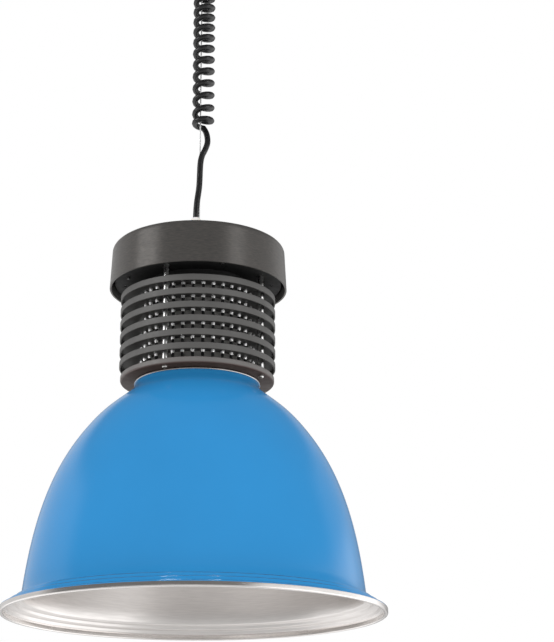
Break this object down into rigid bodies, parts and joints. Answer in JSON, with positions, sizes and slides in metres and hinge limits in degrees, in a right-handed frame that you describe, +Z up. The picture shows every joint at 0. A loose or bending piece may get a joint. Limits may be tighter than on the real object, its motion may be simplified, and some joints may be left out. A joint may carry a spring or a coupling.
{
  "type": "grow lamp",
  "caption": "Hanging grow lamp: blue bell reflector under a finned heat sink and drum cap, on a thin wire with a coiled cord below a ceiling canopy.",
  "frame": {"origin": "centre of the reflector rim's lowest plane", "axes": "+Z up along the wire, -Y is the front, +X to the right seen from the front"},
  "size_m": [0.3888, 0.3888, 0.86],
  "materials": {
    "blue_lacquer": "blue gloss lacquer outside, satin silver inside",
    "warm_grey_aluminium": "satin anodised",
    "dark_anodised": "satin black anodised",
    "black_pins": "matt black",
    "grey_aluminium": "cast, matt",
    "bright_steel": "zinc plated",
    "wire_steel": "stranded",
    "cap_brushed": "dark brushed lacquer",
    "nickel": "satin nickel",
    "bare_aluminium": "bare sheet",
    "glass": "clear",
    "silicone": "soft matt",
    "pad_grey": "soft matt",
    "phosphor": "soft yellow coating",
    "white_plastic": "moulded",
    "board_green": "solder resist",
    "component_black": "moulded",
    "core_insulation": "coloured insulation",
    "cord_black": "satin"
  },
  "bodies": {
    "ceiling_mount": {"ceiling_bracket": "bright_steel", "canopy": "cap_brushed", "canopy_screws": "bright_steel", "ceiling_terminal": "white_plastic", "upper_pin": "bright_steel"},
    "link": {"swivel_link": "bright_steel"},
    "gripper": {"gripper_body": "nickel", "lower_pin": "bright_steel", "cord_clamp": "component_black", "cord_head": "cord_black"},
    "release": {"release_sleeve": "nickel", "grip_balls": "bright_steel", "release_spring": "bright_steel"},
    "lamp": {"reflector": "blue_lacquer", "base_plate": "warm_grey_aluminium", "heat_pins": "black_pins", "heat_sink_core": "grey_aluminium", "core_screws": "bright_steel", "tie_rods": "bright_steel", "tie_nuts": "bright_steel", "ring_spacers": "bright_steel", "thermal_pad": "pad_grey", "led_board": "bare_aluminium", "led_phosphor": "phosphor", "led_holder": "white_plastic", "holder_screws": "bright_steel", "led_leads": "core_insulation", "glass_retainer": "bare_aluminium", "glass_cover": "glass", "glass_gasket": "silicone", "reflector_screws": "bright_steel", "driver_tray": "dark_anodised", "driver_case": "bare_aluminium", "driver_board": "board_green", "driver_components": "component_black", "driver_lid": "bare_aluminium", "hanger_bridge": "bright_steel", "tray_screws": "bright_steel", "lamp_terminal": "white_plastic", "cord_cores": "core_insulation", "top_cap": "cap_brushed", "cap_standoffs": "bright_steel", "cap_screws": "bright_steel", "wire_bolt": "nickel", "wire_bolt_nut": "nickel", "wire_stop": "nickel", "suspension_wire": "wire_steel", "gland_body": "white_plastic", "gland_locknut": "white_plastic", "gland_nut": "white_plastic", "cord_tail": "cord_black", "cord_coil": "cord_black", "fin_ring_1": "dark_anodised", "fin_ring_2": "dark_anodised", "fin_ring_3": "dark_anodised", "fin_ring_4": "dark_anodised", "fin_ring_5": "dark_anodised", "fin_ring_6": "dark_anodised"}
  },
  "joints": [
    {"name": "swing_sideways", "type": "hinge", "parent": "ceiling_mount", "child": "link", "pos_m": [0, 0, 0.84], "axis": [0, 1, 0], "range_deg": [-15, 15]},
    {"name": "swing_front_back", "type": "hinge", "parent": "link", "child": "gripper", "pos_m": [0, 0, 0.825], "axis": [1, 0, 0], "range_deg": [-15, 15]},
    {"name": "release_push", "type": "slide", "parent": "gripper", "child": "release", "axis": [0, 0, 1], "range_m": [0, 0.003], "stiffness_N_per_m": 300, "springref_m": -0.004, "deforming": ["release_spring"]},
    {"name": "height_adjust", "type": "slide", "parent": "gripper", "child": "lamp", "axis": [0, 0, 1], "range_m": [-0.12, 0.06], "deforming": ["suspension_wire", "cord_coil"]}
  ]
}
